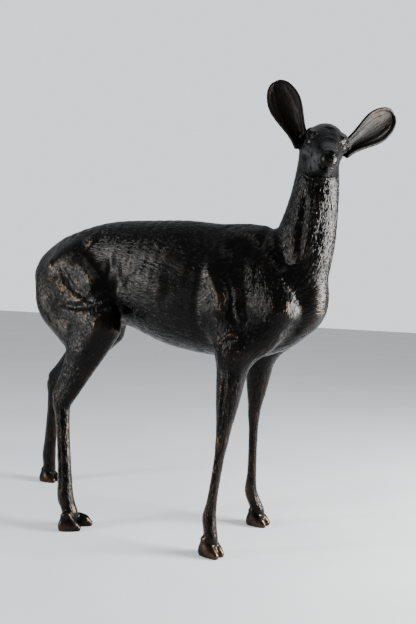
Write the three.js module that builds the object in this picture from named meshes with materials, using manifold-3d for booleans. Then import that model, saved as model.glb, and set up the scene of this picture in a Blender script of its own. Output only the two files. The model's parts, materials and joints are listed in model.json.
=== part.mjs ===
// A life-size standing doe, cast in bronze in one piece and standing on its own four hooves.
// Millimetres, +X towards the chest, +Y to the animal's left, +Z up, soles on Z = 0.
// The body is one smoothly blended field of tapered oval limbs: trunk, muscles, neck, skull, legs, claws.
// The trunk and the head are skinned cell by cell on the field's zero surface, the legs and claws ring
// by ring, the ears are bent sheets, and all of them are joined into a single solid.
import * as THREE from "three";
import Module from "manifold-3d";

// Driving dimensions
const WITHERS = 717; // height of the back over the forelegs
const HEAD_TURN = -66; // degrees, to the animal's right
const HEAD_DIP = -9; // degrees, nose below level
const HEAD_TILT = 10; // degrees, crown leaning to the animal's left
const SKULL_CENTRE = [392, -9, 877];
const EAR_LENGTH = 140;
const EAR_WIDTH = 67;
const EAR_WALL = 6;
const EAR_LEAN = 8;
const EYE_RADIUS = 12;
const CLAW_LENGTH = 58;
const CLAW_WIDTH = 19;
const CLAW_HEIGHT = 36;
const BASE_CENTRE = [24.739, 8.643]; // from the modelling origin to the middle of the footprint box

// Skins
const TRUNK_CELL = [26, 20, 22]; // mesh cell of the trunk along X, Y, Z
const HEAD_CELL = [11, 10, 10]; // mesh cell of the head in its own frame
const LEG_TOP = 402; // the trunk's skin ends here and the legs' own skins go on
const NECK_TOP = 800; // the trunk's skin ends here and the head's skin goes on
const LEG_SIDES = 12;
const LEG_RINGS = 18;
const TOE_SIDES = 8;
const TOE_RINGS = 5;
const SHORTEST_EDGE = 3;
const OVERLAP = 45; // how far a skin runs on inside its neighbour
const TUCK = 5; // how far it is drawn in there

const wasm = await Module();
wasm.setup();

const { lerp, degToRad, smoothstep } = THREE.MathUtils;
const vec = (x, y, z) => new THREE.Vector3(x, y, z);
const mix = (a, b, t) => a.map((value, i) => lerp(value, b[i], t));
const both = (make) => [make(-1), make(1)]; // the animal's right side, then its left
const UP = vec(0, 0, 1);
const LEFT = vec(0, 1, 0);

// Smooth union of two distances, with a fillet of about k
function blend(a, b, k) {
  const h = Math.max(k - Math.abs(a - b), 0) / k;
  return Math.min(a, b) - (h * h * k) / 4;
}

function frameAlong(along, side) {
  const across = side.clone().addScaledVector(along, -side.dot(along)).normalize();
  return { along, across, depth: across.clone().cross(along) };
}

// An oval tube drawn smoothly through stations [x, y, z, deep, wide]. "wide" is its half-width along
// the across direction, "deep" the half-width at right angles to that and to the tube.
class Limb {
  constructor(stations, fillet, across = LEFT, pieces = 4) {
    this.fillet = fillet;
    this.side = across;
    const smooth = (points) => new THREE.CatmullRomCurve3(points, false, "centripetal");
    const path = smooth(stations.map((s) => vec(s[0], s[1], s[2])));
    const girth = smooth(stations.map((s, i) => vec(s[3], s[4], 20 * i)));
    const count = (stations.length - 1) * pieces;
    const shares = Array.from({ length: count + 1 }, (_, i) => i / count);
    this.points = shares.map((t) => path.getPoint(t));
    this.girths = shares.map((t) => girth.getPoint(t));
    this.spans = shares.slice(1).map((_, i) => this.span(i));
    this.box = new THREE.Box3().setFromPoints(this.points);
    this.box.expandByScalar(Math.max(...this.girths.map((g) => Math.max(g.x, g.y))) + 2 * fillet);
  }

  span(i) {
    const along = this.points[i + 1].clone().sub(this.points[i]);
    const length = along.length();
    const frame = frameAlong(along.divideScalar(length), this.side);
    return { from: this.points[i], length, ...frame, g0: this.girths[i], g1: this.girths[i + 1] };
  }

  // Approximate distance from a point to the tube's surface, negative inside
  distance(p) {
    if (!this.box.containsPoint(p)) return this.box.distanceToPoint(p) + 2 * this.fillet;
    let best = Infinity;
    for (const s of this.spans) {
      const dx = p.x - s.from.x;
      const dy = p.y - s.from.y;
      const dz = p.z - s.from.z;
      const run = dx * s.along.x + dy * s.along.y + dz * s.along.z;
      const t = Math.min(Math.max(run / s.length, 0), 1);
      const deep = lerp(s.g0.x, s.g1.x, t);
      const wide = lerp(s.g0.y, s.g1.y, t);
      const end = Math.min(deep, wide);
      const u = (dx * s.depth.x + dy * s.depth.y + dz * s.depth.z) / deep;
      const v = (dx * s.across.x + dy * s.across.y + dz * s.across.z) / wide;
      const w = (run - t * s.length) / end;
      const k0 = Math.hypot(u, v, w);
      const k1 = Math.hypot(u / deep, v / wide, w / end);
      best = Math.min(best, k1 < 1e-9 ? -end : (k0 * (k0 - 1)) / k1);
    }
    return best;
  }
}

function fieldOf(limbs) {
  return (p) => limbs.reduce((d, limb) => blend(d, limb.distance(p), limb.fillet), 1000);
}

// Trunk from the rump to the chest: [x, y, z, half-height, half-width]
const trunk = new Limb(
  [
    [-322, 0, 590, 38, 34],
    [-292, 0, 592, 72, 62],
    [-235, 0, 598, 100, 78],
    [-140, 0, WITHERS - 112, 120, 83],
    [-40, 0, WITHERS - 118, 131, 94],
    [60, 0, WITHERS - 136, 148, 103],
    [155, 0, WITHERS - 148, 150, 100],
    [245, 0, WITHERS - 147, 146, 82],
    [318, 0, WITHERS - 162, 116, 64],
    [360, 0, WITHERS - 172, 70, 50],
  ],
  26,
);
const neck = new Limb(
  [
    [332, 0, 596, 74, 56],
    [356, 0, 680, 66, 53],
    [371, 0, 750, 55, 48],
    [380, -4, 815, 47, 43],
    [383, -8, 864, 40, 39],
  ],
  16,
);
const brisket = new Limb([[342, 0, 546, 46, 42], [313, 0, 500, 44, 44], [260, 0, 468, 41, 46]], 24);
const tail = new Limb([[-300, 0, 626, 16, 18], [-334, 0, 578, 14, 16], [-343, 0, 528, 8, 11]], 12);

// Girths of the legs at shares of each bone, [bone, share, deep, wide]; bones run down from the body
const FORE_GIRTH = [
  [0, 0, 41, 31],
  [0, 0.25, 34, 27],
  [0, 0.6, 25, 21],
  [0, 0.9, 16, 15],
  [1, 0, 14.5, 14.5],
  [1, 0.2, 11, 11],
  [1, 0.75, 11, 11],
  [1, 1, 15.5, 14.5],
  [2, 0.6, 15, 15],
  [2, 1, 16, 16],
  [2, 1.4, 11, 11],
];
const HIND_GIRTH = [
  [0, 0, 60, 38],
  [0, 0.25, 52, 32],
  [0, 0.55, 40, 26],
  [0, 0.8, 31, 20],
  [1, 0, 24, 18],
  [1, 0.12, 19, 15],
  [1, 0.35, 16.5, 13.5],
  [1, 0.8, 18, 14.5],
  [1, 1, 20, 17],
  [2, 0.6, 18, 17],
  [2, 1, 18, 18],
  [2, 1.4, 12, 12],
];
// Joints from the body down to the coronet, the heading of the hoof in degrees, how far apart its claws
// stand, and how far the left claw stands ahead of the right one
const RIGHT_FORE = {
  joints: [[230, -74, 440], [214, -94, 245], [196, -110, 80], [203, -115, 36]],
  girth: FORE_GIRTH,
  heading: -14,
  spread: 18,
  step: 0,
};
const LEFT_FORE = {
  joints: [[232, 74, 440], [212, 90, 275], [202, 109, 80], [218, 115, 36]],
  girth: FORE_GIRTH,
  heading: -7,
  spread: 20,
  step: 0,
};
const RIGHT_HIND = {
  joints: [[-112, -90, 485], [-203, -106, 290], [-172, -128, 72], [-158, -128, 36]],
  girth: HIND_GIRTH,
  heading: 26,
  spread: 36,
  step: 22,
};
const LEFT_HIND = {
  joints: [[-212, 90, 468], [-398, 116, 290], [-440, 148, 78], [-444, 155, 36]],
  girth: HIND_GIRTH,
  heading: 0,
  spread: 21,
  step: 0,
};
const LEGS = [RIGHT_FORE, LEFT_FORE, RIGHT_HIND, LEFT_HIND];

function legLimb({ joints, girth }) {
  const station = ([bone, share, deep, wide]) => [...mix(joints[bone], joints[bone + 1], share), deep, wide];
  return new Limb(girth.map(station), 18);
}

// Point of the hock and the tendon that rises from it
function heelTendon({ joints: [stifle, hock] }) {
  const shin = vec(...stifle).sub(vec(...hock)).normalize();
  const back = LEFT.clone().cross(shin).negate();
  const heel = vec(...hock).addScaledVector(back, 22).addScaledVector(shin, 16).toArray();
  const rise = mix(heel, stifle, 0.45);
  return new Limb([[...heel, 11, 10], [...mix(heel, rise, 0.5), 11, 9], [...rise, 16, 12]], 14);
}

// Thigh and buttock above a hind leg, down to its stifle and the back of its gaskin
function haunch({ joints: [stifle, hock] }) {
  const side = Math.sign(stifle[1]);
  const hip = [-232, side * 50, 606];
  const pin = [-290, side * 38, 592];
  const seat = [-281, side * 50, 522];
  const calf = mix(stifle, hock, 0.35);
  return [
    new Limb([[...hip, 78, 48], [...mix(hip, stifle, 0.55), 80, 47], [...stifle, 56, 34]], 26),
    new Limb([[...pin, 42, 36], [...seat, 38, 34], [...mix(seat, calf, 0.5), 38, 31], [...calf, 30, 26]], 18),
  ];
}

// Shoulder blade, upper arm and triceps above a foreleg
function shoulder({ joints: [elbow] }) {
  const side = Math.sign(elbow[1]);
  const top = [226, side * 36, 668];
  const point = [322, side * 56, 532];
  return [
    new Limb([[...top, 40, 26], [...mix(top, point, 0.5), 50, 35], [...point, 42, 32]], 18),
    new Limb([[...point, 44, 32], [...mix(point, elbow, 0.5), 54, 34], [...elbow, 42, 30]], 18),
    new Limb([[190, side * 58, 620, 30, 26], [196, side * 72, 530, 38, 30], [...elbow, 36, 26]], 26),
  ];
}

const foreLegs = [RIGHT_FORE, LEFT_FORE];
const hindLegs = [RIGHT_HIND, LEFT_HIND];
for (const leg of LEGS) leg.limb = legLimb(leg);
for (const leg of hindLegs) leg.tendon = heelTendon(leg);
const muscles = [...hindLegs.flatMap(haunch), ...foreLegs.flatMap(shoulder)];
const legLimbs = [...LEGS.map((leg) => leg.limb), ...hindLegs.map((leg) => leg.tendon)];

// Skull frame: x to the nose, y to the animal's left, z to the crown
const skullFrame = new THREE.Matrix4()
  .makeTranslation(...SKULL_CENTRE)
  .multiply(new THREE.Matrix4().makeRotationZ(degToRad(HEAD_TURN)))
  .multiply(new THREE.Matrix4().makeRotationY(degToRad(-HEAD_DIP)))
  .multiply(new THREE.Matrix4().makeRotationX(degToRad(-HEAD_TILT)));
const inSkull = (x, y, z) => vec(x, y, z).applyMatrix4(skullFrame);

function skullLimb(stations, fillet) {
  const placed = stations.map(([x, y, z, deep, wide]) => [...inSkull(x, y, z), deep, wide]);
  return new Limb(placed, fillet, vec(0, 1, 0).transformDirection(skullFrame));
}

const SKULL = [
  [-44, 0, -8, 28, 26],
  [-15, 0, 0, 44, 42],
  [20, 0, 2, 46, 43],
  [55, 0, -6, 40, 36],
  [90, 0, -18, 30, 27],
  [125, 0, -25, 25, 22],
  [146, 0, -26, 19, 18],
];
const JAW = [
  [-8, 0, -42, 26, 33],
  [25, 0, -46, 24, 33],
  [60, 0, -44, 18, 24],
  [100, 0, -42, 13, 17],
  [132, 0, -38, 10, 13],
];
const brow = (side) => skullLimb([[26, side * 35, 22, 11, 9], [60, side * 30, 17, 9, 8]], 8);
const eye = (side) => skullLimb([[42, side * 36, 8, EYE_RADIUS, 9], [50, side * 35, 7, EYE_RADIUS, 9]], 3);
const earRoot = (side) => skullLimb([[-12, side * 28, 0, 20, 14], [-17, side * 46, 12, 15, 11]], 12);
const head = [skullLimb(SKULL, 16), skullLimb(JAW, 14), ...both(brow), ...both(eye), ...both(earRoot)];

// Skin over the zero surface of a field inside a box, one vertex in each cell that the surface crosses.
// The box and its cells lie in the given frame.
function cellSkin(field, box, cell, frame = new THREE.Matrix4()) {
  const low = box.min.toArray();
  const size = box.getSize(vec(0, 0, 0)).toArray();
  const n = size.map((s, i) => Math.ceil(s / cell[i]) + 1);
  const place = (i, j, k) => vec(low[0] + i * cell[0], low[1] + j * cell[1], low[2] + k * cell[2]);
  const at = (i, j, k) => (i * n[1] + j) * n[2] + k;
  const value = new Float32Array(n[0] * n[1] * n[2]);
  const each = (visit) => {
    for (let i = 0; i < n[0]; i++) {
      for (let j = 0; j < n[1]; j++) {
        for (let k = 0; k < n[2]; k++) visit(i, j, k);
      }
    }
  };
  each((i, j, k) => {
    value[at(i, j, k)] = field(place(i, j, k).applyMatrix4(frame));
  });
  const vertexOf = new Int32Array(value.length).fill(-1);
  const positions = [];
  const index = [];
  const steps = [[1, 0, 0], [0, 1, 0], [0, 0, 1]];
  // One vertex per cell: the mean of its edge crossings, drawn onto the surface
  each((i, j, k) => {
    if (i === n[0] - 1 || j === n[1] - 1 || k === n[2] - 1) return;
    const sum = vec(0, 0, 0);
    let crossings = 0;
    for (let e = 0; e < 12; e++) {
      const axis = e % 3;
      const from = [i, j, k];
      from[(axis + 1) % 3] += Math.floor(e / 3) % 2;
      from[(axis + 2) % 3] += Math.floor(e / 6);
      const to = from.map((v, a) => v + steps[axis][a]);
      const a = value[at(...from)];
      const b = value[at(...to)];
      if (a < 0 === b < 0) continue;
      sum.add(place(...from).lerp(place(...to), a / (a - b)));
      crossings++;
    }
    if (!crossings) return;
    vertexOf[at(i, j, k)] = positions.length / 3;
    positions.push(...toSurface(field, sum.divideScalar(crossings).applyMatrix4(frame)));
  });
  // One quad per crossed grid edge, through the four cells around it
  each((i, j, k) => {
    for (let axis = 0; axis < 3; axis++) {
      const [u, v] = [steps[(axis + 1) % 3], steps[(axis + 2) % 3]];
      const here = [i, j, k];
      const end = here.map((c, a) => c + steps[axis][a]);
      if (end[axis] >= n[axis] || here[(axis + 1) % 3] < 1 || here[(axis + 2) % 3] < 1) continue;
      const inside = value[at(...here)] < 0;
      if (inside === value[at(...end)] < 0) continue;
      const corner = (a, b) => vertexOf[at(...here.map((c, x) => c - a * u[x] - b * v[x]))];
      const quad = [corner(1, 1), corner(0, 1), corner(0, 0), corner(1, 0)];
      if (!inside) quad.reverse();
      index.push(quad[0], quad[1], quad[2], quad[0], quad[2], quad[3]);
    }
  });
  return solidOf(positions, index);
}

// Moves a point onto the zero surface of a field along its slope
function toSurface(field, p) {
  const step = 0.5;
  for (let round = 0; round < 3; round++) {
    const d = field(p);
    const slope = vec(
      field(vec(p.x + step, p.y, p.z)) - d,
      field(vec(p.x, p.y + step, p.z)) - d,
      field(vec(p.x, p.y, p.z + step)) - d,
    ).divideScalar(step);
    p.addScaledVector(slope, -d / Math.max(slope.lengthSq(), 0.3));
  }
  return p;
}

function solidOf(positions, index) {
  const vertProperties = new Float32Array(positions);
  return new wasm.Manifold(new wasm.Mesh({ numProp: 3, vertProperties, triVerts: new Uint32Array(index) }));
}

// Closed skin over rings of points, with one pole before the first ring and one after the last
function ringSkin(rings, startPole, endPole) {
  const sides = rings[0].length;
  const positions = [...rings.flat(), startPole, endPole].flatMap((p) => p.toArray());
  const start = rings.length * sides;
  const top = start - sides;
  const index = [];
  for (let s = 0; s < sides; s++) {
    const next = (s + 1) % sides;
    index.push(start, next, s, start + 1, top + s, top + next);
    for (let r = 0; r < top; r += sides) {
      index.push(r + s, r + next, r + sides + s, r + next, r + sides + next, r + sides + s);
    }
  }
  return solidOf(positions, index);
}

// Ring of points where rays from a centre, at right angles to its frame, leave a field or end at reach
function ringOfRays(field, centre, { across, depth }, sides, reach) {
  return Array.from({ length: sides }, (_, s) => {
    const angle = (2 * Math.PI * s) / sides;
    const way = depth.clone().multiplyScalar(Math.cos(angle)).addScaledVector(across, Math.sin(angle));
    let r = 0;
    for (let i = 0; i < 60; i++) {
      r = Math.min(r + Math.max(-0.7 * field(centre.clone().addScaledVector(way, r)), 0), reach);
    }
    return centre.clone().addScaledVector(way, r);
  });
}

// Skin of a limb, on rings spread evenly from its point number first to its end
function tubeSkin(field, limb, first, count, sides) {
  const last = limb.points.length - 1;
  const centres = [];
  const rings = Array.from({ length: count }, (_, i) => {
    const at = lerp(first, last, i / (count - 1));
    const k = Math.min(Math.floor(at), last - 1);
    const along = limb.points[k + 1].clone().sub(limb.points[Math.max(k - 1, 0)]).normalize();
    centres.push(limb.points[k].clone().lerp(limb.points[k + 1], at - k));
    return ringOfRays(field, centres[i], frameAlong(along, limb.side), sides, 1.3 * limb.girths[k].x);
  });
  return ringSkin(rings, centres[0], centres[count - 1]);
}

// A leg from just above the end of the trunk's skin down into its claws
function legSkin({ limb }) {
  const first = limb.points.findIndex((p) => p.z < LEG_TOP + OVERLAP);
  return tubeSkin(legField, limb, first, LEG_RINGS, LEG_SIDES);
}

// One claw of a hoof: a wall that slopes from the coronet to the toe, on a flat sole
function clawSkin({ joints, heading, spread, step }, side) {
  const [x, y] = joints[joints.length - 1];
  const frame = new THREE.Matrix4().makeTranslation(x, y, 0);
  frame.multiply(new THREE.Matrix4().makeRotationZ(degToRad(heading)));
  const across = vec(0, 1, 0).transformDirection(frame);
  const half = CLAW_WIDTH / 2;
  const ahead = side > 0 ? step : 0;
  const height = CLAW_HEIGHT - 0.7 * ahead; // a claw that stands ahead lies flatter
  const place = (along, z) => vec(along * CLAW_LENGTH + ahead, (side * spread) / 2, z).applyMatrix4(frame);
  const at = (along, z, deep, wide) => [...place(along, z), deep, wide];
  const field = fieldOf([
    new Limb([at(-0.26, 10, 15, half), at(0.12, 10, 15, half * 1.1), at(0.36, 6, 9, half * 0.8)], 8, across),
    new Limb([at(-0.12, height, 13, half), at(0, 12, 19, half * 1.05)], 10, across),
  ]);
  const heights = [0, 0.14, 0.3, 0.5, 0.72, 1].map((share) => share * height);
  const centres = heights.map((z) => place(0.02, z));
  const rings = centres.map((p) => ringOfRays(field, p, frameAlong(UP, across), LEG_SIDES, CLAW_LENGTH));
  const claw = ringSkin(rings, centres[0], centres[heights.length - 1]);
  if (!ahead) return claw;
  const [fetlock, coronet] = joints.slice(-2);
  const toe = new Limb([[...mix(fetlock, coronet, 0.6), 13, 13], at(-0.1, 0.6 * height, 10, 9)], 1, across);
  return claw.add(tubeSkin(fieldOf([toe]), toe, 0, TOE_RINGS, TOE_SIDES));
}

// An ear: a leaf-shaped sheet, widest towards its rounded tip and cupped towards the opening side.
// Root, tip and the way it opens are given in the skull frame.
function earSkin(root, tip, opens) {
  const [rows, columns] = [11, 9];
  const [from, to] = [inSkull(...root), inSkull(...tip)];
  const along = to.clone().sub(from).normalize();
  const front = vec(...opens).transformDirection(skullFrame);
  const across = front.clone().cross(along).normalize();
  front.crossVectors(along, across);
  const sheet = (u, v, offset) => {
    const half = (EAR_WIDTH / 2) * Math.sqrt(1 - u ** 5) * lerp(0.42, 1, smoothstep(u, 0.05, 0.75));
    const cup = lerp(1.4, 0.55, smoothstep(u, 0, 0.8)); // half-angle of the cupped section
    const radius = half / Math.sin(cup);
    const bend = EAR_LEAN * u * u; // the tip leans to the opening side
    return from
      .clone()
      .addScaledVector(along, u * EAR_LENGTH)
      .addScaledVector(across, (radius + offset) * Math.sin(v * cup))
      .addScaledVector(front, radius - (radius + offset) * Math.cos(v * cup) + bend);
  };
  const rings = Array.from({ length: rows }, (_, r) => {
    const u = 0.985 * Math.sin((r / (rows - 1)) * (Math.PI / 2)) ** 1.2;
    const row = Array.from({ length: columns }, (_, c) => (2 * c) / (columns - 1) - 1);
    const wall = EAR_WALL * lerp(1.2, 0.8, u);
    return [...row.map((v) => sheet(u, v, wall / 2)), ...row.reverse().map((v) => sheet(u, v, -wall / 2))];
  });
  const middle = (ring) => ring.reduce((sum, p) => sum.add(p), vec(0, 0, 0)).divideScalar(ring.length);
  return ringSkin(rings, middle(rings[0]), middle(rings[rows - 1]));
}

const EARS = [
  { root: [-14, -42, -2], tip: [-38, -126, 117], opens: [1, -0.15, 0] },
  { root: [-14, 42, 2], tip: [-65, 140, 102], opens: [1, 0.3, 0] },
];

const body = fieldOf([trunk, neck, brisket, ...muscles, ...legLimbs]);
const tuckedAbove = (p, z) => body(p) + TUCK * smoothstep(p.z, z + OVERLAP / 4, z + OVERLAP / 2);
const legField = (p) => tuckedAbove(p, LEG_TOP);
const trunkField = (p) => Math.max(tuckedAbove(p, NECK_TOP), LEG_TOP - p.z, p.z - NECK_TOP - OVERLAP);
const trunkBox = new THREE.Box3(vec(-400, -170, LEG_TOP - 20), vec(460, 170, NECK_TOP + OVERLAP + 25));
const headBody = fieldOf([neck, ...head]);
const headField = (p) => Math.max(headBody(p), NECK_TOP - p.z);
const headBox = new THREE.Box3(vec(-100, -75, -125), vec(190, 75, 75));

let solid = cellSkin(trunkField, trunkBox, TRUNK_CELL);
solid = solid.add(cellSkin(headField, headBox, HEAD_CELL, skullFrame));
solid = solid.add(tubeSkin(fieldOf([tail]), tail, 0, TOE_RINGS, TOE_SIDES));
for (const leg of LEGS) solid = solid.add(legSkin(leg));
for (const leg of LEGS) both((side) => clawSkin(leg, side)).forEach((claw) => (solid = solid.add(claw)));
for (const { root, tip, opens } of EARS) solid = solid.add(earSkin(root, tip, opens));

// Geometry of a solid whose short edges, left along its seams, are closed up to points
function toGeometry(made, shortest) {
  const mesh = made.getMesh();
  const triple = (list, i) => [...list.slice(3 * i, 3 * i + 3)];
  const points = Array.from({ length: mesh.numVert }, (_, i) => vec(...triple(mesh.vertProperties, i)));
  const faces = Array.from({ length: mesh.numTri }, (_, i) => triple(mesh.triVerts, i));
  const facesOf = points.map(() => new Set());
  faces.forEach((face, i) => face.forEach((v) => facesOf[v].add(i)));
  const neighbours = (v) => new Set([...facesOf[v]].flatMap((i) => faces[i]).filter((w) => w !== v));
  const closable = (a, around, b) => {
    const shared = [...neighbours(b)].filter((v) => around.has(v)).length;
    return shared === 2 && points[a].distanceTo(points[b]) < shortest;
  };
  const close = (a, b) => {
    for (const i of facesOf[b]) {
      if (faces[i].includes(a)) faces[i].forEach((v) => v !== b && facesOf[v].delete(i));
      else facesOf[a].add(i);
      faces[i] = faces[i].includes(a) ? [] : faces[i].map((v) => (v === b ? a : v));
    }
    facesOf[b].clear();
  };
  for (let a = 0; a < points.length; a++) {
    for (let b = 0; b !== undefined && facesOf[a].size; ) {
      const around = neighbours(a);
      b = [...around].find((v) => closable(a, around, v));
      if (b !== undefined) close(a, b);
    }
  }
  const kept = points.map((_, v) => v).filter((v) => facesOf[v].size);
  const place = new Map(kept.map((v, i) => [v, i]));
  const geometry = new THREE.BufferGeometry().setFromPoints(kept.map((v) => points[v]));
  geometry.setIndex(faces.flat().map((v) => place.get(v)));
  return geometry.translate(-BASE_CENTRE[0], -BASE_CENTRE[1], 0);
}

const bronze = new THREE.MeshStandardMaterial({ color: 0x1d1815, roughness: 0.34, metalness: 0.9 });
const deer = new THREE.Mesh(toGeometry(solid, SHORTEST_EDGE), bronze);
deer.name = "deer";

const statue = new THREE.Group();
statue.add(deer);
export default statue;
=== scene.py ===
"""A life-size doe in dark waxed bronze, standing on a pale floor in soft light.

The skin is the zero surface of one blended field of oval limbs, in millimetres in the sculptor's frame:
+X to the chest, +Y to the animal's left, +Z up. Tool marks, muscle edges and the face are cut into it,
and the finished mesh is moved to the row frame in metres.
"""
import json
import math

import bpy
import numpy as np
from mathutils import Matrix, Vector
from mathutils.kdtree import KDTree

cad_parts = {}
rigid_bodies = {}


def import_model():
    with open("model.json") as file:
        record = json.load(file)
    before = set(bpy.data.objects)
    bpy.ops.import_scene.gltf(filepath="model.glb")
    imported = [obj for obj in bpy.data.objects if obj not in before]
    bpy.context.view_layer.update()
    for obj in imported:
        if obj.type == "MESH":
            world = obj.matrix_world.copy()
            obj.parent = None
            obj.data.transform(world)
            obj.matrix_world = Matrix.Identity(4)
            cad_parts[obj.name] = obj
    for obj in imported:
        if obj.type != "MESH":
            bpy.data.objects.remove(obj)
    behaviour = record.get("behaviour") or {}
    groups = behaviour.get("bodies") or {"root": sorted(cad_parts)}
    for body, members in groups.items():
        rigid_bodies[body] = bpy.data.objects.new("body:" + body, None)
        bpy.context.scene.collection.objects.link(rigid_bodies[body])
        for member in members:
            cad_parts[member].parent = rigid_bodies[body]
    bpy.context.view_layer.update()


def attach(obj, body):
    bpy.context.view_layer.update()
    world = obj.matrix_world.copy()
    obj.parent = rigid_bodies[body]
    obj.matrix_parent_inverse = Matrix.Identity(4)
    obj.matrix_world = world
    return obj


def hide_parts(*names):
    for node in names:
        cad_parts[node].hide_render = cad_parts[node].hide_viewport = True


for left_over in list(bpy.data.objects):
    bpy.data.objects.remove(left_over)
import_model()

WITHERS = 717.0
HEAD_TURN = -66.0
HEAD_DIP = -9.0
HEAD_TILT = 10.0
SKULL_CENTRE = (392.0, -9.0, 877.0)
EAR_LENGTH = 140.0
EAR_WIDTH = 67.0
EAR_WALL = 6.0
EAR_LEAN = 8.0
CLAW_LENGTH = 58.0
CLAW_WIDTH = 19.0
CLAW_HEIGHT = 36.0
BASE_CENTRE = np.array([24.739, 8.643, 0.0])
EYE = (46, 42, 7)  # outer face of the left eye, in the skull's frame
FAR = 1000.0
SPACE_LOW = np.array([-484.0, -176.0, -6.0])
SPACE_HIGH = np.array([534.0, 194.0, 1030.0])
CELL = 2.5
BAND = 13.0  # how near the skin a coarse cell has to be to be cut finer
TRIANGLES = 192000
TOOL_MARKS = 9500
LEFT = np.array([0.0, 1.0, 0.0])
BACK = -1  # hair runs against the order of a limb's stations
ON = 1  # hair runs along it


def mix(a, b, t):
    return [u + (v - u) * t for u, v in zip(a, b)]


def smooth_path(points, pieces=4):
    """Centripetal spline through points, each stretch cut into the same number of pieces."""
    p = np.array(points, float)
    p = np.vstack([2 * p[0] - p[1], p, 2 * p[-1] - p[-2]])
    rows = []
    for a, b, c, d in zip(p, p[1:], p[2:], p[3:]):
        k = [math.sqrt(math.sqrt(((v - u) ** 2).sum())) or 1.0 for u, v in ((a, b), (b, c), (c, d))]
        g0 = ((b - a) / k[0] - (c - a) / (k[0] + k[1]) + (c - b) / k[1]) * k[1]
        g1 = ((c - b) / k[1] - (d - b) / (k[1] + k[2]) + (d - c) / k[2]) * k[1]
        for i in range(pieces):
            t = i / pieces
            cubic = 2 * b - 2 * c + g0 + g1
            square = -3 * b + 3 * c - 2 * g0 - g1
            rows.append(b + g0 * t + square * t * t + cubic * t ** 3)
    rows.append(p[-2])
    return np.array(rows)


class Limb:
    """Oval tube through stations (x, y, z, deep, wide), blended into its neighbours with a fillet."""

    def __init__(self, stations, fillet, hair, across=LEFT):
        s = np.array(stations, float)
        self.fillet = fillet
        self.hair = hair
        points = smooth_path(s[:, :3])
        girth = smooth_path(np.column_stack([s[:, 3:], 20.0 * np.arange(len(s))]))
        along = np.diff(points, axis=0)
        self.length = np.linalg.norm(along, axis=1)
        self.along = along / self.length[:, None]
        side = across - self.along * (self.along @ across)[:, None]
        self.across = side / np.linalg.norm(side, axis=1)[:, None]
        self.depth = np.cross(self.across, self.along)
        self.start = points[:-1]
        self.g0 = girth[:-1, :2]
        self.g1 = girth[1:, :2]
        reach = girth[:, :2].max() + 2 * fillet
        self.low = points.min(0) - reach
        self.high = points.max(0) + reach

    def distance(self, p, with_way=False):
        best = np.full(len(p), np.inf)
        way = np.zeros((len(p), 3)) if with_way else None
        for i in range(len(self.length)):
            d = p - self.start[i]
            run = d @ self.along[i]
            t = np.clip(run / self.length[i], 0, 1)
            deep = self.g0[i, 0] + (self.g1[i, 0] - self.g0[i, 0]) * t
            wide = self.g0[i, 1] + (self.g1[i, 1] - self.g0[i, 1]) * t
            end = np.minimum(deep, wide)
            u = d @ self.depth[i] / deep
            v = d @ self.across[i] / wide
            w = (run - t * self.length[i]) / end
            k0 = np.sqrt(u * u + v * v + w * w)
            k1 = np.sqrt((u / deep) ** 2 + (v / wide) ** 2 + (w / end) ** 2)
            value = np.where(k1 < 1e-9, -end, k0 * (k0 - 1) / np.maximum(k1, 1e-9))
            if with_way:
                way[value < best] = self.hair * self.along[i]
            best = np.minimum(best, value)
        return (best, way) if with_way else best


# Trunk, neck and tail
trunk = Limb(
    [
        (-322, 0, 590, 38, 34),
        (-292, 0, 592, 72, 62),
        (-235, 0, 598, 100, 78),
        (-140, 0, WITHERS - 112, 120, 83),
        (-40, 0, WITHERS - 118, 131, 94),
        (60, 0, WITHERS - 136, 148, 103),
        (155, 0, WITHERS - 148, 150, 100),
        (245, 0, WITHERS - 147, 146, 82),
        (318, 0, WITHERS - 162, 116, 64),
        (360, 0, WITHERS - 172, 70, 50),
    ],
    26,
    BACK,
)
neck = Limb(
    [
        (332, 0, 596, 74, 56),
        (356, 0, 680, 66, 53),
        (371, 0, 750, 55, 48),
        (380, -4, 815, 47, 43),
        (383, -8, 864, 40, 39),
    ],
    16,
    BACK,
)
brisket = Limb([(342, 0, 546, 46, 42), (313, 0, 500, 44, 44), (260, 0, 468, 41, 46)], 24, ON)
tail = Limb([(-300, 0, 626, 16, 18), (-334, 0, 578, 14, 16), (-343, 0, 528, 8, 11)], 8, ON)

# Legs: girths (bone, share, deep, wide) on joints that run down from the body to the coronet
FORE_GIRTH = [
    (0, 0, 41, 31), (0, 0.25, 34, 27), (0, 0.6, 25, 21), (0, 0.9, 16, 15),
    (1, 0, 14.5, 14.5), (1, 0.2, 11, 11), (1, 0.75, 11, 11), (1, 1, 15.5, 14.5),
    (2, 0.6, 15, 15), (2, 1, 16, 16), (2, 1.4, 11, 11),
]
HIND_GIRTH = [
    (0, 0, 60, 38), (0, 0.25, 52, 32), (0, 0.55, 40, 26), (0, 0.8, 31, 20),
    (1, 0, 24, 18), (1, 0.12, 19, 15), (1, 0.35, 16.5, 13.5), (1, 0.8, 18, 14.5), (1, 1, 20, 17),
    (2, 0.6, 18, 17), (2, 1, 18, 18), (2, 1.4, 12, 12),
]
LEGS = [
    dict(joints=[(230, -74, 440), (214, -94, 245), (196, -110, 80), (203, -115, 36)], girth=FORE_GIRTH,
         heading=-14, spread=18, step=0),
    dict(joints=[(232, 74, 440), (212, 90, 275), (202, 109, 80), (218, 115, 36)], girth=FORE_GIRTH,
         heading=-7, spread=20, step=0),
    dict(joints=[(-112, -90, 485), (-203, -106, 290), (-172, -128, 72), (-158, -128, 36)], girth=HIND_GIRTH,
         heading=26, spread=36, step=22),
    dict(joints=[(-212, 90, 468), (-398, 116, 290), (-440, 148, 78), (-444, 155, 36)], girth=HIND_GIRTH,
         heading=0, spread=21, step=0),
]


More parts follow.
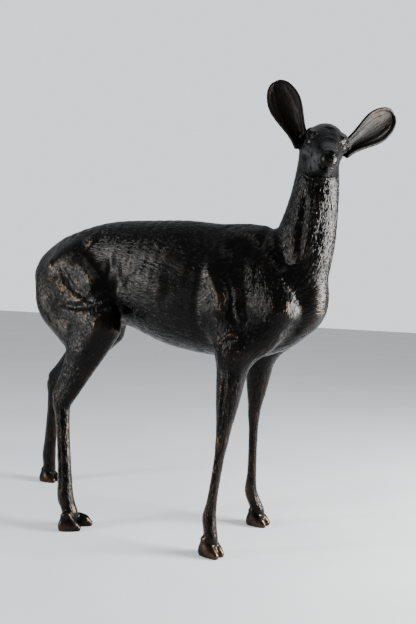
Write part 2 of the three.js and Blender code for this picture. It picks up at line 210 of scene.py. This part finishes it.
def leg_limb(leg):
    j = leg["joints"]
    return Limb([(*mix(j[b], j[b + 1], s), deep, wide) for b, s, deep, wide in leg["girth"]], 18, ON)


def heel_tendon(leg):
    stifle, hock = (np.array(q, float) for q in leg["joints"][:2])
    shin = (stifle - hock) / np.linalg.norm(stifle - hock)
    heel = hock - 22 * np.cross(LEFT, shin) + 16 * shin
    rise = mix(heel, stifle, 0.45)
    return Limb([(*heel, 11, 10), (*mix(heel, rise, 0.5), 11, 9), (*rise, 16, 12)], 14, BACK)


def haunch(leg):
    stifle, hock = leg["joints"][:2]
    side = math.copysign(1, stifle[1])
    hip, pin, seat = (-232, side * 50, 606), (-290, side * 38, 592), (-281, side * 50, 522)
    calf = mix(stifle, hock, 0.35)
    return [
        Limb([(*hip, 78, 48), (*mix(hip, stifle, 0.55), 80, 47), (*stifle, 56, 34)], 26, ON),
        Limb([(*pin, 42, 36), (*seat, 38, 34), (*mix(seat, calf, 0.5), 38, 31), (*calf, 30, 26)], 18, ON),
    ]


def shoulder(leg):
    elbow = leg["joints"][0]
    side = math.copysign(1, elbow[1])
    top, point = (226, side * 36, 668), (322, side * 56, 532)
    return [
        Limb([(*top, 40, 26), (*mix(top, point, 0.5), 50, 35), (*point, 42, 32)], 18, ON),
        Limb([(*point, 44, 32), (*mix(point, elbow, 0.5), 54, 34), (*elbow, 42, 30)], 18, ON),
        Limb([(190, side * 58, 620, 30, 26), (196, side * 72, 530, 38, 30), (*elbow, 36, 26)], 26, ON),
    ]


def claw(leg, side):
    """The two limbs of a claw's wall and sole, and the toe that carries a claw standing ahead."""
    x, y, _ = leg["joints"][-1]
    turn = Matrix.Translation((x, y, 0)) @ Matrix.Rotation(math.radians(leg["heading"]), 4, "Z")
    across = np.array(turn.to_3x3() @ Vector((0, 1, 0)))
    half = CLAW_WIDTH / 2
    ahead = leg["step"] if side > 0 else 0
    height = CLAW_HEIGHT - 0.7 * ahead

    def at(along, z, deep, wide):
        return (*(turn @ Vector((along * CLAW_LENGTH + ahead, side * leg["spread"] / 2, z))), deep, wide)

    limbs = [
        Limb(
            [at(-0.26, 10, 15, half), at(0.12, 10, 15, half * 1.1), at(0.36, 6, 9, half * 0.8)],
            8, ON, across,
        ),
        Limb([at(-0.12, height, 13, half), at(0, 12, 19, half * 1.05)], 10, ON, across),
    ]
    if ahead:
        fetlock, coronet = leg["joints"][-2:]
        start = (*mix(fetlock, coronet, 0.6), 13, 13)
        limbs.append(Limb([start, at(-0.1, 0.6 * height, 10, 9)], 4, ON, across))
    return limbs


# Head: x to the nose, y to the animal's left, z to the crown
skull_frame = (
    Matrix.Translation(SKULL_CENTRE)
    @ Matrix.Rotation(math.radians(HEAD_TURN), 4, "Z")
    @ Matrix.Rotation(math.radians(-HEAD_DIP), 4, "Y")
    @ Matrix.Rotation(math.radians(-HEAD_TILT), 4, "X")
)
skull_axes = np.array(skull_frame.to_3x3())


def in_skull(x, y, z):
    return np.array(skull_frame @ Vector((x, y, z)))


def skull_limb(stations, fillet, hair=BACK):
    placed = [(*in_skull(x, y, z), deep, wide) for x, y, z, deep, wide in stations]
    return Limb(placed, fillet, hair, skull_axes[:, 1])


head = [
    skull_limb(
        [
            (-44, 0, -8, 28, 26), (-15, 0, 0, 44, 42), (20, 0, 2, 46, 43), (55, 0, -6, 40, 36),
            (90, 0, -18, 30, 27), (125, 0, -25, 25, 22), (146, 0, -26, 19, 18),
        ],
        16,
    ),
    skull_limb(
        [
            (-8, 0, -42, 26, 33), (25, 0, -46, 24, 33), (60, 0, -44, 18, 24),
            (100, 0, -42, 13, 17), (132, 0, -38, 10, 13),
        ],
        14,
    ),
]
# Brows, eyeballs and ear roots, then the upper and lower rims of the eyelids
for side in (-1, 1):
    head.append(skull_limb([(26, side * 35, 22, 11, 9), (60, side * 30, 17, 9, 8)], 8))
for side in (-1, 1):
    head.append(skull_limb([(42, side * 36, 8, 12, 9), (50, side * 35, 7, 12, 9)], 3))
for side in (-1, 1):
    head.append(skull_limb([(-12, side * 28, 0, 20, 14), (-17, side * 46, 12, 15, 11)], 12, ON))
for side in (-1, 1):
    upper_rim = [(36, side * 39, 14, 3, 3), (46, side * 42, 19, 3.2, 3.2), (57, side * 37, 13, 3, 3)]
    lower_rim = [(36, side * 40, 3, 2.5, 2.5), (47, side * 42, -2, 2.8, 2.8), (58, side * 36, 3, 2.5, 2.5)]
    head.append(skull_limb(upper_rim, 3))
    head.append(skull_limb(lower_rim, 3))

# Ears in the skull's frame: the root, the tip and the way the cup opens
EARS = [
    dict(root=(-14, -42, -2), tip=(-38, -126, 117), opens=(1, -0.15, 0)),
    dict(root=(-14, 42, 2), tip=(-65, 140, 102), opens=(1, 0.3, 0)),
]


def ease(x, low, high):
    t = np.clip((x - low) / (high - low), 0, 1)
    return t * t * (3 - 2 * t)


def tree_of(points):
    tree = KDTree(len(points))
    for i, q in enumerate(points):
        tree.insert(q, i)
    tree.balance()
    return tree


class Ear:
    """A leaf-shaped sheet, cupped towards the side it opens to, as samples with normals and half walls."""

    def __init__(self, root, tip, opens):
        start = in_skull(*root)
        along = in_skull(*tip) - start
        along /= np.linalg.norm(along)
        front = skull_axes @ np.array(opens, float)
        across = np.cross(front, along)
        across /= np.linalg.norm(across)
        front = np.cross(along, across)
        u, v = np.meshgrid(np.linspace(0, 1, 140), np.linspace(-1, 1, 71), indexing="ij")
        u = 0.999 * np.sin(u * math.pi / 2) ** 1.2
        half = EAR_WIDTH / 2 * np.sqrt(1 - u ** 5) * (0.42 + 0.58 * ease(u, 0.05, 0.75))
        cup = 1.4 - 0.85 * ease(u, 0, 0.8)
        radius = half / np.sin(cup)
        spread = radius * np.sin(v * cup)
        sink = radius - radius * np.cos(v * cup) + EAR_LEAN * u * u
        fold = np.exp(-(((np.abs(v) - 0.66) / 0.1) ** 2)) * ease(u, 0.08, 0.3) * (1 - ease(u, 0.8, 0.95))
        sink = sink + 1.8 * fold
        sheet = start + (u * EAR_LENGTH)[..., None] * along
        sheet = sheet + spread[..., None] * across + sink[..., None] * front
        normal = np.cross(np.gradient(sheet, axis=0), np.gradient(sheet, axis=1))
        normal /= np.linalg.norm(normal, axis=2)[..., None]
        self.points = sheet.reshape(-1, 3)
        self.normals = normal.reshape(-1, 3)
        self.walls = (EAR_WALL / 2 * (1.2 - 0.4 * u) + 0.7 * ease(np.abs(v), 0.8, 1.0)).ravel()
        self.along = along
        self.front = front
        self.low = self.points.min(0) - 14
        self.high = self.points.max(0) + 14
        self.tree = tree_of(self.points)

    def nearest(self, p):
        return np.array([self.tree.find(q)[1] for q in p], int)

    def distance(self, p):
        i = self.nearest(p)
        d = p - self.points[i]
        out = np.einsum("ij,ij->i", d, self.normals[i])
        flat = np.sqrt(np.maximum((d * d).sum(1) - out * out, 0))
        return np.sqrt(out * out + np.maximum(flat - 1.6, 0) ** 2) - self.walls[i]

    def touched(self, p):
        """Which of the points lie on the ear's skin."""
        near = np.flatnonzero(np.all((p > self.low) & (p < self.high), axis=1))
        return near[self.distance(p[near]) < 2.5]


limbs = [trunk, neck, brisket]
limbs += [limb for leg in LEGS[2:] for limb in haunch(leg)]
limbs += [limb for leg in LEGS[:2] for limb in shoulder(leg)]
limbs += [leg_limb(leg) for leg in LEGS] + [heel_tendon(leg) for leg in LEGS[2:]]
limbs += [tail] + head
claws = [limb_set for leg in LEGS for limb_set in (claw(leg, -1), claw(leg, 1))]
ears = [Ear(**ear) for ear in EARS]


def blend(a, b, k):
    h = np.maximum(k - np.abs(a - b), 0) / k
    return np.minimum(a, b) - h * h * k / 4


def field(p):
    """Approximate distance to the doe's skin, negative inside."""
    total = np.full(len(p), FAR)

    def add(shape, k, into):
        near = np.all((p > shape.low) & (p < shape.high), axis=1)
        if near.any():
            into[near] = blend(into[near], shape.distance(p[near]), k)

    for limb in limbs:
        add(limb, limb.fillet, total)
    for group in claws:
        one = np.full(len(p), FAR)
        for limb in group:
            add(limb, limb.fillet, one)
        total = blend(total, one, 2.5)
    for ear in ears:
        add(ear, 6, total)
    return np.maximum(total, -p[:, 2])


def skin():
    """Vertices and quads of the field's zero surface, one vertex in each crossed cell of a fine grid."""
    step = 4
    low = SPACE_LOW
    n = np.ceil((SPACE_HIGH - low) / (CELL * step)).astype(int) + 1
    axes = [low[a] + CELL * step * np.arange(n[a]) for a in range(3)]
    coarse_points = np.stack(np.meshgrid(*axes, indexing="ij"), -1).reshape(-1, 3)
    coarse = np.concatenate([field(q) for q in np.array_split(coarse_points, 8)]).reshape(n)
    near = np.abs(coarse) < BAND
    active = np.zeros(n - 1, bool)
    for i in range(2):
        for j in range(2):
            for k in range(2):
                active |= near[i:n[0] - 1 + i, j:n[1] - 1 + j, k:n[2] - 1 + k]
    fine = (n - 1) * step
    grow = active.repeat(step, 0).repeat(step, 1).repeat(step, 2)
    value = coarse[:-1, :-1, :-1].repeat(step, 0).repeat(step, 1).repeat(step, 2).astype(np.float32)
    cells = np.argwhere(grow)
    values = [field(low + CELL * part) for part in np.array_split(cells, max(len(cells) // 200000, 1))]
    value[tuple(cells.T)] = np.concatenate(values)
    inside = value < 0
    corners = [inside[i:fine[0] - 1 + i, j:fine[1] - 1 + j, k:fine[2] - 1 + k]
               for i in range(2) for j in range(2) for k in range(2)]
    count = sum(c.astype(np.int8) for c in corners)
    crossed = np.argwhere((count > 0) & (count < 8))
    number = np.full(fine - 1, -1, np.int32)
    number[tuple(crossed.T)] = np.arange(len(crossed))
    total = np.zeros((len(crossed), 3))
    hits = np.zeros(len(crossed))
    for axis in range(3):
        for i in range(2):
            for j in range(2):
                first = crossed.copy()
                first[:, (axis + 1) % 3] += i
                first[:, (axis + 2) % 3] += j
                second = first.copy()
                second[:, axis] += 1
                a = value[tuple(first.T)].astype(float)
                b = value[tuple(second.T)].astype(float)
                cut = (a < 0) != (b < 0)
                t = np.where(cut, a / np.where(cut, a - b, 1), 0)
                place = first.astype(float)
                place[:, axis] += t
                total += np.where(cut[:, None], place, 0)
                hits += cut
    points = low + CELL * total / hits[:, None]
    quads = []
    for axis in range(3):
        u, v = (axis + 1) % 3, (axis + 2) % 3
        end = np.array(fine)
        end[axis] -= 1
        here = inside[tuple(slice(0, e) for e in end)]
        shift = [slice(0, e) for e in end]
        shift[axis] = slice(1, end[axis] + 1)
        there = inside[tuple(shift)]
        edges = np.argwhere(here != there)
        edges = edges[(edges[:, u] > 0) & (edges[:, v] > 0)]
        edges = edges[(edges[:, u] < fine[u] - 1) & (edges[:, v] < fine[v] - 1)]
        turned = ~here[tuple(edges.T)]
        ring = []
        for du, dv in ((1, 1), (0, 1), (0, 0), (1, 0)):
            cell = edges.copy()
            cell[:, u] -= du
            cell[:, v] -= dv
            ring.append(number[tuple(cell.T)])
        ring = np.stack(ring, 1)
        ring[turned] = ring[turned][:, ::-1]
        quads.append(ring)
    return points, np.concatenate(quads)


def normals_of(mesh):
    flat = np.empty(3 * len(mesh.vertices))
    mesh.vertex_normals.foreach_get("vector", flat)
    return flat.reshape(-1, 3)


def places_of(mesh):
    flat = np.empty(3 * len(mesh.vertices))
    mesh.vertices.foreach_get("co", flat)
    return flat.reshape(-1, 3)


def put(mesh, points):
    mesh.vertices.foreach_set("co", points.ravel())
    mesh.update()


points, quads = skin()
raw = bpy.data.meshes.new("raw")
raw.from_pydata(points.tolist(), [], quads.tolist())
raw.update()
for _ in range(2):
    points = points - np.clip(field(points), -1.5, 1.5)[:, None] * normals_of(raw)
    points[:, 2] = np.maximum(points[:, 2], 0)
    put(raw, points)
# The thin and small forms of the ears, face and claws are drawn onto the field along its own slope
small = np.flatnonzero((points[:, 2] > 800) | ((points[:, 2] < 70) & (points[:, 2] > 1)))
for _ in range(3):
    p = points[small]
    rise = np.stack([field(p + 0.4 * e) - field(p - 0.4 * e) for e in np.eye(3)], 1) / 0.8
    push = -field(p) / np.maximum((rise ** 2).sum(1), 0.3)
    points[small] = p + np.clip(push, -1, 1)[:, None] * rise
points[:, 2] = np.maximum(points[:, 2], 0)
put(raw, points)


def hair_at(p, normal):
    """Direction of the coat along the skin at points: down the neck and legs and back along the trunk."""
    gap = np.full(len(p), np.inf)
    found = []
    for limb in limbs:
        near = np.flatnonzero(np.all((p > limb.low) & (p < limb.high), axis=1))
        if len(near):
            d, way = limb.distance(p[near], True)
            found.append((near, d, way))
            gap[near] = np.minimum(gap[near], d)
    hair = np.zeros_like(p)
    for near, d, way in found:
        hair[near] += np.exp(-(d - gap[near]) / 9)[:, None] * way
    for ear in ears:
        hair[ear.touched(p)] = ear.along
    hair[np.linalg.norm(hair, axis=1) < 1e-3] = (0, 0, -1)
    hair -= normal * np.einsum("ij,ij->i", hair, normal)[:, None]
    return hair / np.maximum(np.linalg.norm(hair, axis=1), 1e-6)[:, None]


# Muscle edges, hollows and bones, drawn in side view on the right: (height, width, places (x, z)). The left
# repeats them softer, with the haunch carried back as its leg is.
RELIEF = [
    # Haunch and gaskin
    (-7, 9, [(-230, 625), (-170, 565), (-90, 525)]),
    (-6, 8, [(-285, 575), (-200, 525), (-100, 525)]),
    (7, 14, [(-185, 640), (-105, 565)]),
    (4, 14, [(-240, 585), (-190, 550)]),
    (-5, 18, [(-110, 655), (-65, 595), (-45, 560)]),
    (5, 11, [(-90, 510), (-95, 480), (-125, 425)]),
    (5, 14, [(-245, 625), (-265, 610)]),
    (5, 16, [(-170, 690), (-145, 665)]),
    # Ribs, shoulder and elbow
    (4, 24, [(-30, 610), (80, 565)]),
    (5, 13, [(165, 630), (205, 550), (210, 510)]),
    (3.5, 9, [(240, 605), (240, 530), (260, 500)]),
    (-4, 8, [(205, 620), (225, 560), (230, 505)]),
    (3.5, 4.5, [(205, 400), (210, 455), (235, 478), (260, 470)]),
    # Foot of the neck, chest and withers
    (-8, 16, [(315, 665), (340, 615)]),
    (-2, 9, [(365, 565), (355, 515)]),
    (-4, 7, [(340, 465), (370, 510)]),
    (-3, 16, [(205, 712), (180, 712)]),
    # Neck
    (-3.5, 9, [(370, 785), (360, 635)]),
    (3, 9, [(400, 790), (385, 690), (365, 630)]),
]
# The face, in the skull's frame and on both sides: nostril, mouth, groove of the nose, tear line, edge of the
# eyelids, cheekbone, hollow of the cheek, forehead and jaw
FACE = [
    (-1.8, 2.4, [(154, -8, -13), (150, -12, -16)]),
    (-2.4, 2.2, [(150, 0, -34), (140, -13, -36), (118, -20, -36), (98, -23, -33)]),
    (-1.2, 2.4, [(156, 0, -10), (154, 0, -26)]),
    (-2, 3, [(60, -33, 2), (80, -27, -6)]),
    (-1.6, 2.0, [(36, -44, 8), (46, -47, 11), (57, -42, 8)]),
    (2, 6, [(24, -40, -14), (60, -33, -18), (88, -26, -22)]),
    (-2, 6, [(30, -40, -30), (66, -28, -34)]),
    (-2.5, 9, [(52, 0, 36), (86, 0, 14)]),
    (2.5, 9, [(24, -32, -50), (48, -28, -50), (74, -22, -47)]),
]
THROAT = [(355, -40, 825), (380, -50, 805), (405, -47, 805), (425, -20, 815)]


def to_line(p, q):
    """Distance from points to a line through q, and how far along it the nearest place is, from 0 to 1."""
    best = np.full(len(p), np.inf)
    share = np.zeros(len(p))
    for i, (a, b) in enumerate(zip(q, q[1:])):
        t = np.clip((p - a) @ (b - a) / max((b - a) @ (b - a), 1e-9), 0, 1)
        d = np.linalg.norm(p - a - t[:, None] * (b - a), axis=1)
        share = np.where(d < best, (i + t) / (len(q) - 1), share)
        best = np.minimum(best, d)
    return best, share


def relief(p, tree):
    rise = np.zeros(len(p))

    def add(height, width, q, fade):
        near = np.all((p > q.min(0) - 3 * width) & (p < q.max(0) + 3 * width), axis=1)
        d, share = to_line(p[near], q)
        ends = ease(np.minimum(share, 1 - share), -0.02, fade)
        rise[near] += height * ends * np.exp(-((d / width) ** 2))

    def nearest(line):
        return p[[tree.find(place)[1] for place in smooth_path(line)]]

    def outermost(line, side):
        """Places on the skin of one side along a line of the side view."""
        route = smooth_path(line, 8)
        return p[[np.argmin(3 * np.hypot(p[:, 0] - x, p[:, 2] - z) - side * p[:, 1]) for x, z in route]]

    def carried_back(x, z):
        return (x - 100 * float(ease(640 - z, 0, 160)) if x < 0 else x, z)

    for height, width, line in RELIEF:
        add(height, width, outermost(line, -1), 0.25)
        add(0.7 * height, width, outermost([carried_back(*place) for place in line], 1), 0.25)
    for height, width, line in FACE:
        add(height, width, nearest([in_skull(x, y, z) for x, y, z in line]), 0.1)
        if any(y for _, y, _ in line):
            add(height, width, nearest([in_skull(x, -y, z) for x, y, z in line]), 0.1)
    add(-3.5, 4, nearest(THROAT), 0.15)
    # Tendons of the cannons and muscles of the forearms, on the outer sides of the legs
    for leg in LEGS:
        body, upper, lower = (np.array(q, float) for q in leg["joints"][:3])
        out = math.copysign(30, upper[1])
        for height, width, shift in ((-2.4, 4, 0), (1.8, 4, -8), (1.6, 4, 8)):
            side = np.array([shift, out, 0])
            add(height, width, nearest([mix(upper, lower, t) + side for t in (0.06, 0.35, 0.65, 0.94)]), 0.2)
        if leg["girth"] is FORE_GIRTH:
            for height, width, shift in ((-3, 5, -2), (2, 5, 9), (2, 5, -13)):
                side = np.array([shift, 1.5 * out, 0])
                add(height, width, nearest([mix(body, upper, t) + side for t in (0.2, 0.45, 0.7, 0.95)]), 0.3)
    return rise


def coat_share(p):
    """1 where the skin carries tool-marked coat, 0 on the nose, eyes and hooves, less on the ears."""
    share = ease(p[:, 2], 30, 60)
    local = (p - np.array(SKULL_CENTRE)) @ skull_axes
    share *= 1 - 0.55 * ease(local[:, 0], 128, 150) * ease(p[:, 2], 700, 760)
    for side in (-1, 1):
        share *= ease(np.linalg.norm(local - (EYE[0], side * EYE[1], EYE[2]), axis=1), 9, 15)
    for ear in ears:
        share[ear.touched(p)] *= 0.45
    return share


points = points + relief(points, tree_of(points))[:, None] * normals_of(raw)
put(raw, points)
normals = normals_of(raw)
hair = hair_at(points, normals)
share = coat_share(points)

# Tool marks: short cuts along the coat with raised lips
seeded = np.random.default_rng(7)
tree = tree_of(points)
cut = np.zeros(len(points))
for i in seeded.choice(len(points), TOOL_MARKS, replace=False):
    if share[i] < 0.3:
        continue
    finer = 0.7 if points[i, 2] > 830 else 1.0
    length = seeded.uniform(6, 12) * (1.3 if points[i, 2] < 430 else finer)
    width = seeded.uniform(2.0, 2.8)
    depth = seeded.uniform(0.25, 0.7) * finer * share[i]
    angle = seeded.normal(0, 0.16)
    side = np.cross(normals[i], hair[i])
    way = math.cos(angle) * hair[i] + math.sin(angle) * side
    side = np.cross(normals[i], way)
    near = np.array([hit[1] for hit in tree.find_range(points[i], 1.6 * length)])
    d = points[near] - points[i]
    a = (d @ way / length) ** 2
    b = (d @ side / width) ** 2
    cut[near] -= depth * (1 - 0.9 * b) * np.exp(-a - b)
points = points + np.clip(cut, -2.2, 1.6)[:, None] * normals
points[:, 2] = np.maximum(points[:, 2], 0)
put(raw, points)

# The finished mesh, thinned where the skin is plain
holder = bpy.data.objects.new("holder", raw)
bpy.context.collection.objects.link(holder)
thin = holder.modifiers.new("thin", "DECIMATE")
thin.ratio = TRIANGLES / (2 * len(quads))
thin.use_collapse_triangulate = True
bpy.context.view_layer.update()
mesh = bpy.data.meshes.new_from_object(holder.evaluated_get(bpy.context.evaluated_depsgraph_get()))
bpy.data.objects.remove(holder)
bpy.data.meshes.remove(raw)
mesh.name = "doe"
points = places_of(mesh)
normals = normals_of(mesh)
hair = hair_at(points, normals)
share = coat_share(points)


def hollows(mesh, points, normals, rounds):
    """How far each vertex lies below the mean of its surroundings."""
    ends = np.empty(2 * len(mesh.edges), np.int32)
    mesh.edges.foreach_get("vertices", ends)
    a, b = ends.reshape(-1, 2).T
    degree = np.bincount(np.concatenate([a, b]), minlength=len(points))[:, None]
    soft = points
    for _ in range(rounds):
        total = np.zeros_like(points)
        for axis in range(3):
            total[:, axis] = np.bincount(a, soft[b, axis], len(points))
            total[:, axis] += np.bincount(b, soft[a, axis], len(points))
        soft = total / degree
    return np.einsum("ij,ij->i", soft - points, normals)


# Rubbed ridges below the head, rubbed hooves, most on the forefeet, and a satin skin on the ears
hollow = np.clip(hollows(mesh, points, normals, 12) / 2.5, -1, 1)
worn = 0.22 * np.clip(-hollow - 0.35, 0, 1)
worn *= ease(-points[:, 2], -820, -780)
hoof = 1 - ease(points[:, 2], 16, 44)
worn = np.maximum(worn, (0.03 + 0.15 * ease(points[:, 0], 0, 100)) * hoof)
matt = np.zeros(len(points))
for ear, amount in zip(ears, (0.02, 0.01)):
    near = ear.touched(points)
    matt[near] = 1
    inner = normals[near] @ ear.front > 0.2
    worn[near[inner]] = np.maximum(worn[near[inner]], amount)


def store(name, kind, key, values):
    layer = mesh.attributes.new(name, kind, "POINT")
    layer.data.foreach_set(key, np.ascontiguousarray(values, np.float32).ravel())


store("across", "FLOAT_VECTOR", "vector", np.cross(normals, hair))
store("worn", "FLOAT", "value", worn)
# Painted shade: how far each vertex lies in a hollow, used to darken the colour there
store("hollow", "FLOAT", "value", np.clip(hollow, 0, 1))
store("coat", "FLOAT", "value", share)
store("matt", "FLOAT", "value", matt)
put(mesh, (points - BASE_CENTRE) / 1000)
mesh.shade_smooth()
doe = bpy.data.objects.new("doe", mesh)
bpy.context.collection.objects.link(doe)
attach(doe, "root")
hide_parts("deer")


class Nodes:
    """Short hand for building a material's node tree."""

    def __init__(self, name):
        self.material = bpy.data.materials.new(name)
        self.material.use_nodes = True
        self.tree = self.material.node_tree
        self.surface = self.tree.nodes["Principled BSDF"]

    def add(self, kind, links=(), **values):
        node = self.tree.nodes.new(kind)
        for key, value in values.items():
            setattr(node, key, value)
        for socket, value in dict(links).items():
            self.feed(node.inputs[socket], value)
        return node

    def feed(self, socket, value):
        if isinstance(value, bpy.types.NodeSocket):
            self.tree.links.new(value, socket)
        else:
            socket.default_value = value

    def math(self, operation, a, b):
        node = self.add("ShaderNodeMath", operation=operation)
        self.feed(node.inputs[0], a)
        self.feed(node.inputs[1], b)
        return node.outputs[0]

    def value(self, name):
        return self.add("ShaderNodeAttribute", attribute_name=name).outputs["Fac"]

    def vector(self, name):
        return self.add("ShaderNodeAttribute", attribute_name=name).outputs["Vector"]

    def noise(self, scale, detail=3.0, rough=0.55):
        here = self.add("ShaderNodeTexCoord").outputs["Object"]
        return self.add(
            "ShaderNodeTexNoise", {"Vector": here, "Scale": scale, "Detail": detail, "Roughness": rough}
        ).outputs["Fac"]

    def strokes(self, scale, frequency, way):
        here = self.add("ShaderNodeTexCoord").outputs["Object"]
        node = self.add("ShaderNodeTexGabor", gabor_type="3D")
        self.feed(node.inputs["Vector"], here)
        self.feed(node.inputs["Scale"], scale)
        self.feed(node.inputs["Frequency"], frequency)
        self.feed(node.inputs["Anisotropy"], 1.0)
        turn = [s for s in node.inputs if s.name == "Orientation" and s.type == "VECTOR"][0]
        self.feed(turn, way)
        return node.outputs["Value"]

    def span(self, value, low, high, to_low, to_high):
        return self.add(
            "ShaderNodeMapRange",
            {"Value": value, "From Min": low, "From Max": high, "To Min": to_low, "To Max": to_high},
        ).outputs["Result"]

    def blend(self, share, a, b):
        node = self.add("ShaderNodeMix", data_type="RGBA")
        sockets = [s for s in node.inputs if s.enabled]
        self.feed(sockets[0], share)
        self.feed(sockets[1], a)
        self.feed(sockets[2], b)
        return [s for s in node.outputs if s.enabled][0]


DARK = (0.0090, 0.0087, 0.0084, 1)
# Near-black for the painted shade in the hollows of the skin
HOLLOW_SHADE = (0.008, 0.0075, 0.007, 1)
BROWN = (0.030, 0.022, 0.016, 1)
GOLD = (0.25, 0.145, 0.075, 1)
bronze = Nodes("waxed_bronze")
across = bronze.vector("across")
coat = bronze.value("coat")
fine = bronze.strokes(170.0, 1.5, across)
broad = bronze.strokes(90.0, 1.5, across)
lumps = bronze.noise(42.0)
grain = bronze.noise(700.0, 2.0)
height = bronze.math("ADD", bronze.math("MULTIPLY", fine, 0.85), bronze.math("MULTIPLY", broad, 0.5))
height = bronze.math("MULTIPLY", height, bronze.span(coat, 0.0, 1.0, 0.12, 1.0))
height = bronze.math("ADD", height, bronze.math("MULTIPLY", lumps, 0.8))
height = bronze.math("ADD", height, bronze.math("MULTIPLY", grain, 0.12))
bump = bronze.add("ShaderNodeBump", {"Height": height, "Strength": 0.9, "Distance": 0.0014})
patches = bronze.span(bronze.noise(5.5, 5.0, 0.6), 0.55, 0.75, 0.0, 0.4)
colour = bronze.blend(patches, DARK, BROWN)
broken = bronze.span(bronze.noise(28.0, 4.0), 0.38, 0.68, 0.0, 1.0)
colour = bronze.blend(bronze.math("MULTIPLY", bronze.value("worn"), broken), colour, GOLD)
# Painted shade: the colour is drawn towards near-black in the hollows of the skin
colour = bronze.blend(bronze.math("MULTIPLY", bronze.value("hollow"), 0.6), colour, HOLLOW_SHADE)
bronze.feed(bronze.surface.inputs["Base Color"], colour)
rough = bronze.span(bronze.noise(60.0, 4.0), 0.3, 0.7, 0.19, 0.34)
rough = bronze.math("ADD", rough, bronze.math("MULTIPLY", bronze.value("matt"), 0.25))
bronze.feed(bronze.surface.inputs["Roughness"], rough)
bronze.feed(bronze.surface.inputs["Normal"], bump.outputs["Normal"])
bronze.surface.inputs["Metallic"].default_value = 1.0
mesh.materials.clear()
mesh.materials.append(bronze.material)

# Pale floor, with a little light of its own so that it stays pale to the horizon
bpy.ops.mesh.primitive_plane_add(size=14.0)
floor = bpy.context.object
floor.name = "floor"
plaster = Nodes("pale_floor")
tone = plaster.span(plaster.noise(3.0), 0.3, 0.7, 0.0, 1.0)
pale = plaster.blend(tone, (0.36, 0.37, 0.38, 1), (0.41, 0.42, 0.43, 1))
plaster.feed(plaster.surface.inputs["Base Color"], pale)
plaster.surface.inputs["Roughness"].default_value = 0.7
plaster.surface.inputs["Emission Color"].default_value = (0.93, 0.95, 1.0, 1)
plaster.surface.inputs["Emission Strength"].default_value = 0.3
floor.data.materials.append(plaster.material)

# Camera at the photograph's place and angle
CAMERA_PLACE = np.array([852.0, -1485.0, 600.0])
CAMERA_HEADING = math.radians(116.0)
CAMERA_PITCH = math.radians(-2.863)
CAMERA_ROLL = math.radians(1.357)
PHOTO_HEIGHT = 624
FOCAL_PIXELS = 717.9
SENSOR = 36.0
camera = bpy.data.objects.new("camera", bpy.data.cameras.new("camera"))
bpy.context.collection.objects.link(camera)
level = np.array([math.cos(CAMERA_HEADING), math.sin(CAMERA_HEADING), 0.0])
ahead = math.cos(CAMERA_PITCH) * level + np.array([0.0, 0.0, math.sin(CAMERA_PITCH)])
right = np.array([level[1], -level[0], 0.0])
up = np.cross(right, ahead)
cos, sin = math.cos(CAMERA_ROLL), math.sin(CAMERA_ROLL)
right, up = cos * right + sin * up, cos * up - sin * right
turn = Matrix(np.column_stack([right, up, -ahead]).tolist()).to_4x4()
place = (CAMERA_PLACE - BASE_CENTRE) / 1000
camera.matrix_world = Matrix.Translation(place.tolist()) @ turn
camera.data.sensor_width = SENSOR
camera.data.lens = FOCAL_PIXELS / PHOTO_HEIGHT * SENSOR
bpy.context.scene.camera = camera


def soft_light(name, place, aim, size, watts, colour=(1, 1, 1)):
    light = bpy.data.lights.new(name, "AREA")
    light.shape = "RECTANGLE"
    light.size, light.size_y = size
    light.energy = watts
    light.color = colour
    lamp = bpy.data.objects.new(name, light)
    bpy.context.collection.objects.link(lamp)
    lamp.location = place
    lamp.rotation_euler = (Vector(aim) - Vector(place)).to_track_quat("-Z", "Y").to_euler()
    lamp.visible_camera = False


soft_light("window_right", (1.95, 0.45, 0.7), (0.3, 0, 0.65), (0.9, 1.2), 310, (1.0, 0.99, 0.98))
soft_light("window_left", (-1.5, -1.45, 0.85), (-0.1, 0, 0.55), (0.3, 1.4), 75, (0.98, 0.99, 1.0))
soft_light("overhead", (0.1, -0.6, 2.5), (0, 0, 0.5), (0.6, 0.6), 10)

# A pale room that lights the bronze less than it shows
world = bpy.data.worlds.new("pale_room")
world.use_nodes = True
room = world.node_tree
seen = room.nodes["Background"]
seen.inputs["Color"].default_value = (1.25, 1.28, 1.34, 1)
shed = room.nodes.new("ShaderNodeBackground")
shed.inputs["Color"].default_value = (0.42, 0.43, 0.45, 1)
path = room.nodes.new("ShaderNodeLightPath")
both = room.nodes.new("ShaderNodeMixShader")
room.links.new(path.outputs["Is Camera Ray"], both.inputs[0])
room.links.new(shed.outputs[0], both.inputs[1])
room.links.new(seen.outputs[0], both.inputs[2])
room.links.new(both.outputs[0], room.nodes["World Output"].inputs["Surface"])
bpy.context.scene.world = world
